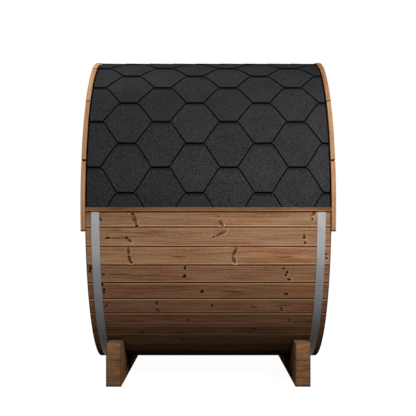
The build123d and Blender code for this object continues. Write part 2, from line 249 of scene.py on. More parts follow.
class Finish:
    """One material, built node by node."""

    def __init__(self, name):
        self.material = bpy.data.materials.new(name)
        self.material.use_nodes = True
        self.nodes = self.material.node_tree.nodes
        self.links = self.material.node_tree.links
        self.nodes.clear()
        self.surface = self.nodes.new("ShaderNodeBsdfPrincipled")
        output = self.nodes.new("ShaderNodeOutputMaterial")
        self.links.new(self.surface.outputs["BSDF"], output.inputs["Surface"])

    def feed(self, value, socket):
        """Links a socket, or sets a number or colour, on an input."""
        if isinstance(value, bpy.types.NodeSocket):
            self.links.new(value, socket)
        else:
            socket.default_value = value

    def math(self, operation, *values):
        """Result of a sum on values or sockets."""
        node = self.nodes.new("ShaderNodeMath")
        node.operation = operation
        for value, socket in zip(values, node.inputs):
            self.feed(value, socket)
        return node.outputs["Value"]

    def times(self, first, *others):
        """Product of two or more values."""
        for other in others:
            first = self.math("MULTIPLY", first, other)
        return first

    def plus(self, first, *others):
        """Sum of two or more values."""
        for other in others:
            first = self.math("ADD", first, other)
        return first

    def less(self, first, second):
        return self.math("SUBTRACT", first, second)

    def reach(self, first, second):
        """Length of the slope that two legs make."""
        return self.math("SQRT", self.plus(self.times(first, first), self.times(second, second)))

    def spread(self, value, low, high, to_low, to_high):
        """Maps one range onto another, held at its ends."""
        node = self.nodes.new("ShaderNodeMapRange")
        for part, socket in zip((value, low, high, to_low, to_high), node.inputs):
            self.feed(part, socket)
        return node.outputs["Result"]

    def swing(self, noise, to_low, to_high):
        """Maps a noise's usual range onto another."""
        return self.spread(noise, NOISE_LOW, NOISE_HIGH, to_low, to_high)

    def blend(self, factor, first, second, mode="MIX"):
        """Mixes two colours by a factor, held between 0 and 1."""
        node = self.nodes.new("ShaderNodeMix")
        node.data_type = "RGBA"
        node.blend_type = mode
        self.feed(factor, node.inputs["Factor"])
        self.feed(with_alpha(first), node.inputs[MIX_FIRST])
        self.feed(with_alpha(second), node.inputs[MIX_SECOND])
        return node.outputs[MIX_RESULT]

    def toned(self, colour, tone):
        """A colour times another colour or a number."""
        return self.blend(1.0, colour, tone, "MULTIPLY")

    def vector(self, x, y, z):
        node = self.nodes.new("ShaderNodeCombineXYZ")
        for value, socket in zip((x, y, z), node.inputs):
            self.feed(value, socket)
        return node.outputs["Vector"]

    def noise(self, place, scale=1.0, detail=2.0, roughness=0.5):
        """Soft noise about 0.5, at a place in space."""
        node = self.nodes.new("ShaderNodeTexNoise")
        self.feed(place, node.inputs["Vector"])
        node.inputs["Scale"].default_value = scale
        node.inputs["Detail"].default_value = detail
        node.inputs["Roughness"].default_value = roughness
        return node.outputs[0]

    def stretched(self, place, scales, detail=2.0, roughness=0.5):
        """Noise at a place whose three parts have each a scale of their own."""
        parts = [self.times(part, scale) for part, scale in zip(place, scales)]
        return self.noise(self.vector(*parts), 1.0, detail, roughness)

    def chance(self, number, salt):
        """A number from 0 to 1 that each board has for itself."""
        node = self.nodes.new("ShaderNodeTexWhiteNoise")
        node.noise_dimensions = "1D"
        self.feed(self.plus(number, salt), node.inputs["W"])
        return node.outputs["Value"]

    def turn(self, number):
        """A number from 0 to 1 that swings from board to board without repeating."""
        slow = self.math("SINE", self.plus(self.times(number, 1.5), 6.2))
        fast = self.math("COSINE", self.plus(self.times(number, 3.45), 10.54))
        return self.plus(self.times(slow, fast, 0.5), 0.5)

    def place(self):
        """The object's own X, Y and Z, in metres."""
        node = self.nodes.new("ShaderNodeTexCoord")
        split = self.nodes.new("ShaderNodeSeparateXYZ")
        self.links.new(node.outputs["Object"], split.inputs["Vector"])
        return split.outputs["X"], split.outputs["Y"], split.outputs["Z"]

    def facing(self, axis):
        """How far the surface faces along an axis, whatever the sign."""
        node = self.nodes.new("ShaderNodeNewGeometry")
        split = self.nodes.new("ShaderNodeSeparateXYZ")
        self.links.new(node.outputs["True Normal"], split.inputs["Vector"])
        return self.math("ABSOLUTE", split.outputs[axis])

    def attribute(self, name):
        """A number that the mesh itself carries."""
        node = self.nodes.new("ShaderNodeAttribute")
        node.attribute_name = name
        return node.outputs["Fac"]

    def bump(self, height, strength, distance):
        """Gives the surface a relief."""
        node = self.nodes.new("ShaderNodeBump")
        node.inputs["Strength"].default_value = strength
        node.inputs["Distance"].default_value = distance
        self.feed(height, node.inputs["Height"])
        self.links.new(node.outputs["Normal"], self.surface.inputs["Normal"])

    def set(self, **values):
        """Feeds the shader's own inputs, named with underscores."""
        for name, value in values.items():
            self.feed(value, self.surface.inputs[name.replace("_", " ")])


def with_alpha(value):
    """A colour as a socket takes it."""
    if isinstance(value, (bpy.types.NodeSocket, float)):
        return value
    return (*value, 1.0)


def tinted(colour, share):
    """A colour made paler or darker."""
    return tuple(min(1.0, part * share) for part in colour)


def dyed(colour, shares):
    """A colour with its red, green and blue changed each by its own share."""
    return tuple(min(1.0, part * share) for part, share in zip(colour, shares))


# Wood

# Early wood is paler and yellower than a board's mean colour, late wood darker and redder.
EARLY_WOOD_SHARES = (1.47, 1.83, 2.0)
LATE_WOOD_SHARES = (0.49, 0.325, 0.23)
YELLOW_STREAK_SHARES = (0.93, 1.045, 1.14)
RED_STREAK_SHARES = (1.10, 0.935, 0.81)
RING_WIDTH = 0.0115
WOOD_BUMP = 0.22
WOOD_RELIEF = 0.0012

# How fine the figure of the wood is along, across and into a board.
STREAK_SCALES = (2.0, 52.0, 52.0)
LINE_SCALES = (4.5, 120.0, 120.0)
FIBRE_SCALES = (48.0, 240.0, 240.0)
CLOUD_SCALES = (2.4, 16.0, 1.0)
RED_STREAK_SCALES = (2.6, 40.0, 1.0)


def round_barrel(finish):
    """Place along the barrel, angle round it from the front, upwards, and distance from its axis."""
    x, y, z = finish.place()
    rise = finish.less(z, AXIS_HEIGHT)
    angle = finish.math("ARCTAN2", rise, finish.times(y, -1.0))
    return x, angle, finish.reach(y, rise)


def wood_figure(finish, along, across, depth, number, colour, tone=0.14, contrast=1.0):
    """Colour and height of the grain at a place along, across and into a board."""
    run = finish.plus(along, finish.times(finish.chance(number, 3.1), 60.0))
    pith_side = finish.spread(finish.chance(number, 7.7), 0.0, 1.0, -0.05, 0.05)
    pith_depth = finish.spread(finish.chance(number, 12.3), 0.0, 1.0, 0.035, 0.11)
    wander = finish.noise(finish.vector(finish.times(run, 1.5), finish.times(across, 7.0), 0.0))
    sway = finish.times(finish.less(wander, 0.5), 0.05)
    drift = finish.noise(finish.vector(finish.times(run, 0.6), 0.0, 4.0))
    taper = finish.times(finish.less(drift, 0.5), 0.10)
    side = finish.plus(finish.less(across, pith_side), sway)
    from_pith = finish.reach(side, finish.plus(depth, pith_depth, taper))
    rings = finish.math("SINE", finish.times(from_pith, FULL_TURN / RING_WIDTH))
    late_wood = finish.spread(rings, 0.0, 1.0, 0.0, 1.0)
    swayed = finish.plus(across, finish.times(sway, 0.35))
    streaks = finish.stretched((run, swayed, depth), STREAK_SCALES)
    lines = finish.stretched((run, swayed, depth), LINE_SCALES, 3.0, 0.6)
    fibres = finish.stretched((run, across, depth), FIBRE_SCALES)
    clouds = finish.stretched((run, swayed, depth), CLOUD_SCALES)
    dark_share = finish.plus(
        finish.times(late_wood, 0.17 * contrast),
        finish.swing(streaks, 0.0, 0.18 * contrast),
        finish.spread(lines, 0.32, 0.68, 0.0, 0.38 * contrast),
        finish.swing(fibres, 0.0, 0.30),
        finish.swing(clouds, 0.0, 0.18))
    grain = finish.blend(dark_share, dyed(colour, EARLY_WOOD_SHARES), dyed(colour, LATE_WOOD_SHARES))
    red_streaks = finish.stretched((run, swayed, finish.plus(depth, 5.0)), RED_STREAK_SCALES, 3.0)
    redness = finish.plus(
        finish.spread(red_streaks, 0.35, 0.65, 0.0, 0.7), finish.times(finish.chance(number, 21.9), 0.3))
    grain = finish.toned(grain, finish.blend(redness, YELLOW_STREAK_SHARES, RED_STREAK_SHARES))
    grain = finish.toned(grain, finish.spread(finish.turn(number), 0.0, 1.0, 1.0 - tone, 1.0 + tone))
    height = finish.plus(finish.times(fibres, 0.6), finish.times(late_wood, -0.4))
    return grain, height


def settle_wood(finish, colour, height, roughness=0.62):
    """Sets the sheen and relief that all the wood shares."""
    finish.set(Base_Color=colour, Specular_IOR_Level=0.0)
    finish.set(Roughness=finish.spread(height, -0.4, 0.6, roughness - 0.08, roughness + 0.1))
    finish.bump(height, WOOD_BUMP, WOOD_RELIEF)
    return finish.material


# Colours of the staves' painted shade tint and bounce light, painted edge highlights, groove and joint shade,
# and painted knot rim highlights, as shares of their own colour.
SHADE_TINT_SHARES = (0.985, 0.89, 0.875)
BOUNCE_LIGHT_SHARES = (1.18, 1.33, 1.50)
LOWER_ARRIS_HIGHLIGHT_SHARES = (1.66, 1.95, 2.1)
UPPER_ARRIS_HIGHLIGHT_SHARES = (1.95, 2.30, 2.55)
# Painted shade in the grooves and at the joints.
GROOVE_SHADE_SHARES = (0.21, 0.10, 0.025)
JOINT_SHARES = (0.11, 0.07, 0.03)
KNOT_RIM_HIGHLIGHT_SHARES = (1.85, 2.05, 2.2)

# Sines of the angles between which the boards turn under the barrel.
UNDERNEATH_LIFTS = (-0.80, -0.74)


def tint_staves_for_light(finish, grain, lift):
    """A redder painted shade tint from the fourth board down, and paler, greyer painted bounce light
    underneath.
    """
    # Painted shade tint: redder where the light is dimmer, from the fourth board down.
    redder = finish.times(
        finish.spread(lift, -0.348, -0.338, 1.0, 0.0), finish.spread(lift, -0.80, -0.66, 0.0, 1.0))
    grain = finish.blend(redder, grain, finish.toned(grain, SHADE_TINT_SHARES))
    # Painted bounce light: paler and greyer on the boards that face the ground.
    greyer = finish.spread(lift, -0.82, -0.78, 1.0, 0.0)
    return finish.blend(greyer, grain, finish.toned(grain, BOUNCE_LIGHT_SHARES))


def edge_staves(finish, grain, colour, seam, lift):
    """Painted highlights on the arrises beside each joint, and painted shade as dark lines in its groove that
    are fainter underneath.
    """

    def underneath(to_low, to_high):
        return finish.spread(lift, *UNDERNEATH_LIFTS, to_low, to_high)

    # Painted highlight on the lower arris of each board, far stronger underneath.
    lower_arris_highlight = finish.times(
        finish.spread(seam, 0.03, 0.06, 0.0, 1.0),
        finish.spread(finish.times(seam, underneath(0.65, 1.0)), 0.095, 0.125, 1.0, 0.0),
        finish.spread(lift, -0.54, -0.46, 0.12, 0.56),
        underneath(5.5, 1.0))
    grain = finish.blend(lower_arris_highlight, grain, dyed(colour, LOWER_ARRIS_HIGHLIGHT_SHARES))
    widened = finish.plus(seam, finish.spread(lift, -0.46, -0.40, 0.012, 0.0))
    # Painted highlight on the upper arris of each board.
    upper_arris_highlight = finish.times(
        finish.spread(widened, 0.895, 0.925, 0.0, 1.0),
        finish.spread(seam, 0.964, 0.974, 1.0, 0.0),
        finish.spread(lift, -0.56, -0.36, 0.85, 0.20),
        finish.spread(lift, -0.79, -0.74, 0.25, 1.15))
    grain = finish.blend(upper_arris_highlight, grain, dyed(colour, UPPER_ARRIS_HIGHLIGHT_SHARES))
    # Painted shade on the chamfer that faces down at each board's lower edge.
    groove = finish.times(
        finish.spread(seam, 0.036, 0.05, 1.0, 0.0),
        finish.spread(lift, -0.34, -0.24, 0.94, 0.82),
        finish.spread(lift, -0.78, -0.70, 0.0, 1.0))
    grain = finish.blend(groove, grain, dyed(colour, GROOVE_SHADE_SHARES))
    # Painted shadow on the chamfer just below each joint, fainter underneath.
    deepened = finish.plus(seam, underneath(0.04, 0.0))
    joint = finish.times(finish.spread(deepened, 0.970, 0.982, 0.0, 0.9), underneath(0.6, 1.0))
    return finish.blend(joint, grain, dyed(colour, JOINT_SHARES))


def stave_wood(finish):
    """Grain of the staves, one figure a board, with painted highlights on the arrises, and painted shade in
    the joints, at the ends and on the lowest board.
    """
    colour = colours().stave
    x, angle, radius = round_barrel(finish)
    pitch = FULL_TURN / sizes().stave_count
    boards = finish.math("DIVIDE", angle, pitch)
    number = finish.math("FLOOR", boards)
    share = finish.less(boards, number)
    across = finish.times(finish.less(share, 0.5), pitch * STAVE_APOTHEM)
    depth = finish.less(radius, STAVE_APOTHEM)
    grain, height = wood_figure(finish, x, across, depth, number, colour, 0.13)
    lift = finish.math("SINE", angle)
    grain = tint_staves_for_light(finish, grain, lift)
    behind = finish.math("GREATER_THAN", finish.math("ABSOLUTE", angle), RIGHT_ANGLE)
    from_below = finish.math("ABSOLUTE", finish.less(behind, share))
    lowered = finish.plus(from_below, finish.spread(lift, -0.34, -0.24, 0.014, 0.005))
    seam = finish.less(lowered, finish.math("FLOOR", lowered))
    grain = edge_staves(finish, grain, colour, seam, lift)
    # Painted shade on the lowest board under the barrel.
    lowest = finish.spread(lift, -0.95, -0.915, 0.6, 0.0)
    grain = finish.blend(lowest, grain, tinted(colour, 0.3))
    # Painted shade along the ends of the staves, beside the trim.
    from_end = finish.less(STAVE_HALF_LENGTH, finish.math("ABSOLUTE", x))
    end_shade = finish.spread(from_end, 0.003, 0.010, 0.65, 0.0)
    grain = finish.blend(end_shade, grain, tinted(colour, 0.22))
    return grain, height


def stave_finish():
    """The staves' wood without knots."""
    finish = Finish("oiled_cedar_staves")
    grain, height = stave_wood(finish)
    return settle_wood(finish, grain, height)


def knot_finish(name, heart_colour, raggedness, dark_from, rim_highlight):
    """The staves' wood, darkening to a knot's heart, with a painted highlight as a pale rim on its lee side,
    fainter low down.
    """
    finish = Finish(name)
    grain, height = stave_wood(finish)
    x, angle, radius = round_barrel(finish)
    lift = finish.math("SINE", angle)
    ragged = finish.noise(finish.vector(x, finish.times(angle, STAVE_APOTHEM), radius), 105.0, 3.0, 0.6)
    uneven = finish.less(ragged, 0.5)
    heart = finish.attribute("heart")
    # Painted highlight: a pale rim on the lee side of each knot, fainter low down.
    rim = finish.times(
        finish.spread(finish.plus(heart, finish.times(uneven, 0.5)), 0.04, 0.22, 0.0, rim_highlight),
        finish.spread(finish.attribute("lee"), 0.4, 0.8, 0.0, 1.0),
        finish.spread(lift, -0.60, -0.45, 0.75, 1.0))
    grain = finish.blend(rim, grain, finish.toned(grain, KNOT_RIM_HIGHLIGHT_SHARES))
    core = finish.plus(heart, finish.times(uneven, raggedness))
    deep_heart = finish.toned(heart_colour, finish.spread(lift, -0.60, -0.45, 0.6, 1.0))
    clear = finish.spread(lift, -0.66, -0.50, 0.62, 0.96)
    heart_share = finish.times(finish.spread(core, 0.28, 0.42, 0.0, 1.0), clear)
    grain = finish.blend(heart_share, grain, deep_heart)
    dark_share = finish.times(finish.spread(core, dark_from, dark_from + 0.14, 0.0, 1.0), clear)
    grain = finish.blend(dark_share, grain, tuple(colours().knot))
    return settle_wood(finish, grain, height)


def straight_wood(
        name, colour, grain_axis, board_axis, board_width, board_start,
        salt=0.0, jointed=False, foot_highlight=0.0):
    """Wood with its grain along one axis and boards counted along another, jointed or with a painted
    highlight along its foot.
    """
    finish = Finish(name)
    place = dict(zip("XYZ", finish.place()))
    along = place[grain_axis]
    across = place[board_axis]
    depth = place[next(axis for axis in "XYZ" if axis not in (grain_axis, board_axis))]
    boards = finish.math("DIVIDE", finish.less(across, board_start), board_width)
    number = finish.math("FLOOR", boards)
    share = finish.less(boards, number)
    from_middle = finish.less(share, 0.5)
    in_board = finish.times(from_middle, board_width)
    grain, height = wood_figure(finish, along, in_board, depth, finish.plus(number, salt), colour)
    if jointed:
        joint = finish.spread(finish.math("ABSOLUTE", from_middle), 0.474, 0.486, 0.0, 0.85)
        grain = finish.blend(joint, grain, tinted(colour, 0.16))
    # Painted highlight along the lower arris of each board.
    if foot_highlight:
        foot = finish.spread(share, 0.18, 0.30, foot_highlight, 0.0)
        grain = finish.blend(foot, grain, dyed(colour, EARLY_WOOD_SHARES))
    return settle_wood(finish, grain, height)


# How pale each length of trim is, from the foot up, at the left end and at the right end: its own tone with
# painted light, lighter high at the left end and darker at the right end.
TRIM_TONE_AND_LIGHT_SHARES = ((1.01, 0.93, 1.08, 1.45), (0.82, 0.84, 0.78, 0.82))
TRIM_GREEN_POWER, TRIM_BLUE_POWER = 1.15, 1.25
TRIM_END_SALT, TRIM_SIDE_SALT = 17.0, 7.0
# Reach of the painted shade at the joints and at the foot.
TRIM_JOINT_SHADE_REACH, TRIM_FOOT_SHADE_REACH = 0.007, 0.013


def trim_tone_and_light(finish, lengths, x):
    """Tone and painted light of the length of trim at a place, counted in lengths above the lowest one."""
    ends = []
    for shares in TRIM_TONE_AND_LIGHT_SHARES:
        tone = shares[0]
        for number, (below, above) in enumerate(zip(shares, shares[1:])):
            past = finish.math("GREATER_THAN", lengths, float(number))
            tone = finish.plus(finish.times(past, above - below), tone)
        ends.append(tone)
    right = finish.math("GREATER_THAN", x, 0.0)
    return finish.plus(finish.times(right, finish.less(ends[1], ends[0])), ends[0])


def trim_finish():
    """Wood with its grain round the arc, one figure a length of trim, with painted light by length and
    painted shade at the joints and the foot.
    """
    finish = Finish("oiled_cedar_trim")
    colour = colours().trim
    x, y, z = finish.place()
    rise = finish.less(z, AXIS_HEIGHT)
    angle = finish.math("ARCTAN2", rise, finish.math("ABSOLUTE", y))
    inward = finish.less(finish.reach(y, rise), TRIM_RADIUS)
    first = TRIM_FOOT_ANGLE + sizes().trim_foot_length / TRIM_RADIUS
    pitch = (RIGHT_ANGLE - first) / sizes().trim_upper_count
    lengths = finish.math("DIVIDE", finish.less(angle, first), pitch)
    number = finish.plus(
        finish.math("FLOOR", lengths),
        finish.times(finish.math("SIGN", x), TRIM_END_SALT),
        finish.times(finish.math("SIGN", y), TRIM_SIDE_SALT))
    along = finish.times(angle, TRIM_RADIUS)
    grain, height = wood_figure(finish, along, inward, x, number, colour, 0.0, 0.9)
    tone = trim_tone_and_light(finish, lengths, x)
    green_tone = finish.math("POWER", tone, TRIM_GREEN_POWER)
    paler = finish.vector(tone, green_tone, finish.math("POWER", tone, TRIM_BLUE_POWER))
    grain = finish.toned(grain, paler)
    from_round = finish.math("ABSOLUTE", finish.less(lengths, finish.math("ROUND", lengths)))
    from_joint = finish.times(from_round, pitch * TRIM_RADIUS)
    from_foot = finish.times(finish.less(angle, TRIM_FOOT_ANGLE), TRIM_RADIUS)
    # Painted shade in the open joints and on the foot, which faces down.
    for distance, limit in ((from_joint, TRIM_JOINT_SHADE_REACH), (from_foot, TRIM_FOOT_SHADE_REACH)):
        dark = finish.spread(distance, limit * 0.6, limit, 0.88, 0.0)
        dark = finish.times(dark, finish.math("GREATER_THAN", angle, TRIM_FOOT_ANGLE - 0.01))
        grain = finish.blend(dark, grain, tinted(colour, 0.12))
    return settle_wood(finish, grain, height)


# Joints between the layers of a cradle, as shares of its height, each with how dark it is.
CRADLE_JOINT_SHARES = ((0.210, 0.75), (0.388, 0.40), (0.606, 0.90), (0.845, 0.45))
CRADLE_PITH_SHARES = (-0.12, 0.53)
PITH_RING_RADIUS = 0.0095
CRADLE_ARRIS_SHARES = (0.42, 0.30, 0.22)

# The painted shadow in one corner on top of a cradle: the height that parts top from sole, and the slope of
# its inner edge.
CRADLE_TOP_FROM = 0.1
CRADLE_CORNER_SHADOW_SLOPE = 0.09


def sawn_end(finish, x, side, z, number, colour):
    """The end of a cradle: level lines, paler towards the top, a ring round the pith and dark arrises."""
    level = finish.stretched((side, z, number), (16.0, 170.0, 1.0), 3.0, 0.6)
    broad = finish.stretched((side, z, number), (9.0, 55.0, 1.0))
    mottles = finish.stretched((side, z, number), (90.0, 150.0, 1.0), 2.0, 0.6)
    lined = finish.plus(
        finish.swing(level, 0.0, 0.55), finish.swing(broad, 0.0, 0.45), finish.swing(mottles, -0.28, 0.28))
    sawn = finish.blend(lined, tinted(colour, 1.66), tinted(colour, 0.44))
    # Paler towards the top of the end.
    paler_upwards = finish.spread(finish.math("DIVIDE", z, CRADLE_HEIGHT), 0.62, 0.86, 1.0, 1.42)
    sawn = finish.toned(sawn, paler_upwards)
    pith_side, pith_height = CRADLE_PITH_SHARES
    from_pith = finish.reach(
        finish.less(side, pith_side * CRADLE_HALF_THICKNESS), finish.less(z, pith_height * CRADLE_HEIGHT))
    from_ring = finish.math("ABSOLUTE", finish.less(from_pith, PITH_RING_RADIUS))
    ring = finish.times(
        finish.spread(from_ring, 0.0015, 0.006, 0.45, 0.0), finish.spread(x, -0.1, 0.1, 1.0, 0.25))
    sawn = finish.blend(ring, sawn, tinted(colour, 1.8))
    from_side = finish.less(CRADLE_HALF_THICKNESS, finish.math("ABSOLUTE", side))
    arris = finish.spread(from_side, 0.002, 0.010, 0.75, 0.0)
    return finish.blend(arris, sawn, dyed(colour, CRADLE_ARRIS_SHARES))


def cradle_finish():
    """Layers of timber glued flat, sawn at the ends, with painted shade where it meets the barrel and in one
    top corner, and darker near the ground.
    """
    finish = Finish("glued_cradle_timber")
    colour = colours().cradle
    x, y, z = finish.place()
    side = finish.less(finish.math("ABSOLUTE", x), CRADLE_MIDDLE)
    worn = finish.noise(finish.vector(x, y, z), 60.0, 2.0)
    wavy = finish.plus(z, finish.times(finish.less(worn, 0.5), 0.006))
    number = finish.times(finish.math("SIGN", x), 9.0)
    joint = 0.0
    for share, darkness in CRADLE_JOINT_SHARES:
        from_joint = finish.less(wavy, share * CRADLE_HEIGHT)
        number = finish.plus(number, finish.math("GREATER_THAN", from_joint, 0.0))
        near = finish.spread(finish.math("ABSOLUTE", from_joint), 0.001, 0.0038, darkness, 0.0)
        joint = finish.math("MAXIMUM", joint, near)
    grain, height = wood_figure(finish, y, side, z, number, colour, 0.08, 0.6)
    on_end = finish.spread(finish.facing("Y"), 0.5, 0.8, 0.0, 1.0)
    grain = finish.blend(on_end, grain, sawn_end(finish, x, side, z, number, colour))
    joint = finish.times(joint, finish.spread(worn, 0.35, 0.6, 1.0, 0.55))
    grain = finish.blend(joint, grain, tinted(colour, 0.22))
    # Painted shadow in the outer corner of the top, widening away from the end.
    on_top = finish.times(
        finish.spread(finish.facing("Z"), 0.5, 0.8, 0.0, 0.9),
        finish.math("GREATER_THAN", z, CRADLE_TOP_FROM))
    from_end = finish.less(CRADLE_HALF_LENGTH, finish.math("ABSOLUTE", y))
    cornered = finish.plus(side, finish.times(from_end, CRADLE_CORNER_SHADOW_SLOPE))
    corner_shadow = finish.spread(cornered, CRADLE_HALF_THICKNESS, CRADLE_HALF_THICKNESS + 0.006, 0.0, 1.0)
    grain = finish.blend(finish.times(on_top, corner_shadow), grain, tinted(colour, 0.06))
    # Painted shadow where the cradle meets the barrel.
    from_barrel = finish.less(finish.reach(y, finish.less(z, AXIS_HEIGHT)), STAVE_APOTHEM)
    grain = finish.blend(finish.spread(from_barrel, 0.010, 0.045, 0.9, 0.0), grain, tinted(colour, 0.08))
    # Darker in the lowest 16 mm.
    darker_near_ground = finish.spread(z, 0.006, 0.016, 0.8, 0.0)
    grain = finish.blend(darker_near_ground, grain, tinted(colour, 0.22))
    return settle_wood(finish, grain, height, 0.7)


# Shingle, steel and glass
def shingle_finish():
    """Mineral grit on bitumen, toned tab by tab, with painted light by height and along the roof, and painted
    shadow under the laps.
    """
    finish = Finish("mineral_shingle")
    x, y, z = finish.place()
    place = finish.vector(x, y, z)
    grit = finish.noise(place, 900.0, 2.0, 0.7)
    patches = finish.noise(place, 150.0, 1.0, 0.5)
    wash = finish.noise(place, 7.0, 2.0)
    speckled = finish.plus(
        finish.swing(grit, 0.78, 1.22), finish.swing(patches, -0.55, 0.55), finish.swing(wash, -0.05, 0.05))
    rise = finish.less(z, AXIS_HEIGHT)
    # Painted light across the roof: lighter to the right lower down, lighter to the left at the top.
    upper_rows = finish.spread(rise, 0.72, 0.80, 0.0, 1.0)
    light_along_roof = finish.blend(
        upper_rows, finish.spread(x, -0.5, 0.5, 0.96, 1.05), finish.spread(x, -0.6, 0.6, 1.12, 0.88))
    tone = finish.times(
        speckled,
        finish.attribute("tab_tone"),
        finish.attribute("lap_shade"),
        # Painted light by height: darker from mid height, lighter on the top rows.
        finish.spread(rise, 0.24, 0.36, 1.03, 0.93),
        finish.spread(rise, 0.70, 0.85, 1.0, 1.17),
        light_along_roof)
    finish.set(Base_Color=finish.toned(colours().shingle, tone))
    finish.set(Roughness=finish.swing(grit, 0.75, 0.95), Specular_IOR_Level=0.0)
    finish.bump(finish.plus(grit, patches), 0.35, 0.001)
    return finish.material


def cut_edge_finish():
    """Bitumen where a shingle is cut, black and frayed."""
    finish = Finish("cut_bitumen_edge")
    frayed = finish.noise(finish.vector(*finish.place()), 400.0, 2.0)
    colour = colours().shingle_edge
    finish.set(Base_Color=finish.blend(frayed, tinted(colour, 0.6), tinted(colour, 1.5)))
    finish.set(Roughness=finish.swing(frayed, 0.85, 1.0), Specular_IOR_Level=0.0)
    finish.bump(frayed, 0.3, 0.001)
    return finish.material


def band_finish():
    """Satin steel, brushed along the band, with painted shade from the level of the fourth stave down and low
    down, deeper at the right end.
    """
    finish = Finish("satin_steel_band")
    x, angle, radius = round_barrel(finish)
    lift = finish.math("SINE", angle)
    brushed = finish.stretched((angle, x, radius), (9.0, 700.0, 1.0), 3.0, 0.6)
    smears = finish.stretched((angle, x, radius), (14.0, 30.0, 1.0))
    # Painted shade on the lower part of the right band.
    shaded = finish.spread(lift, -0.85, -0.55, 0.68, 0.93)
    right_end = finish.math("GREATER_THAN", x, 0.0)
    tone = finish.times(
        finish.plus(finish.swing(brushed, 0.92, 1.06), finish.swing(smears, -0.05, 0.05)),
        # Painted shade from the level of the fourth stave down, and deeper low down.
        finish.spread(lift, -0.38, -0.27, 0.79, 1.0),
        finish.spread(lift, -0.87, -0.74, 0.80, 1.0),
        finish.plus(finish.times(right_end, finish.less(shaded, 1.0)), 1.0))
    finish.set(Base_Color=finish.toned(colours().band, tone))
    finish.set(Metallic=0.08, Specular_IOR_Level=0.05, Roughness=finish.swing(brushed, 0.42, 0.55))
    finish.bump(brushed, 0.1, 0.0004)
    return finish.material


def fitting_finish():
    """Satin steel of hinges and screw heads."""
    finish = Finish("satin_steel_fittings")
    brushed = finish.stretched(finish.place(), (900.0, 900.0, 60.0))
    colour = colours().fitting
    finish.set(Base_Color=finish.blend(brushed, tinted(colour, 0.85), tinted(colour, 1.15)))
    finish.set(Metallic=0.85, Roughness=finish.swing(brushed, 0.42, 0.58))
    finish.bump(brushed, 0.08, 0.0004)
    return finish.material


def glass_finish():
    """Smoked, toughened glass with a faint ripple."""
    finish = Finish("smoked_door_glass")
    ripple = finish.noise(finish.vector(*finish.place()), 6.0, 1.0)
    colour = colours().glass
    finish.set(Base_Color=finish.blend(ripple, tinted(colour, 0.96), tinted(colour, 1.04)))
    finish.set(Transmission_Weight=1.0, IOR=1.45, Roughness=finish.swing(ripple, 0.0, 0.03))
    finish.bump(ripple, 0.02, 0.002)
    return finish.material


# Making pieces
def finish_nodes(material, *names):
    """Gives CAD nodes a finish."""
    for name in names:
        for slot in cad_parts[name].material_slots:
            slot.material = material


def on_barrel(x, angle, radius):
    """Point at an angle round the barrel, from the front upwards."""
    return Vector((x, -radius * math.cos(angle), AXIS_HEIGHT + radius * math.sin(angle)))


def new_piece(name, points, faces, materials, smooth=False):
    """A mesh piece that rides on the sauna's one body."""
    mesh = bpy.data.meshes.new(name)
    mesh.from_pydata([tuple(point) for point in points], [], faces)
    for material in materials:
        mesh.materials.append(material)
    mesh.polygons.foreach_set("use_smooth", [smooth] * len(mesh.polygons))
    mesh.validate()
    piece = bpy.data.objects.new(name, mesh)
    bpy.context.scene.collection.objects.link(piece)
    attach(piece, BODY)
    return piece


def give_attribute(piece, name, domain, values):
    """Writes a number on every point or face of a piece."""
    layer = piece.data.attributes.new(name, "FLOAT", domain)
    layer.data.foreach_set("value", values)


# Staves and knots

# Knots on the front staves: board under the eave, from 0, place along as a share of its half length,
# place across as a share of its half width, length and width in metres, and tilt in degrees.
SPIKE_KNOT_SHARES = (
    (0, -0.597, -0.20, 0.116, 0.045, -72),
    (0, -0.880, -0.10, 0.060, 0.030, 75),
    (0, 0.105, -0.58, 0.070, 0.042, -60),
    (0, 0.857, 0.42, 0.064, 0.038, 60),
    (1, -0.640, -0.35, 0.070, 0.032, -46),
    (1, 0.106, 0.38, 0.122, 0.034, 24),
    (2, -0.650, 0.48, 0.074, 0.036, -88),
    (2, -0.642, -0.36, 0.088, 0.038, -80),
    (2, 0.216, 0.40, 0.106, 0.038, 63),
    (2, 0.210, -0.44, 0.090, 0.038, -70),
    (5, -0.855, 0.04, 0.076, 0.028, 60),
    (5, -0.430, 0.40, 0.064, 0.034, -66),
    (5, 0.620, -0.50, 0.076, 0.032, -60),
    (6, 0.690, -0.15, 0.070, 0.028, -66),
    (7, -0.565, -0.20, 0.066, 0.030, 62),
)
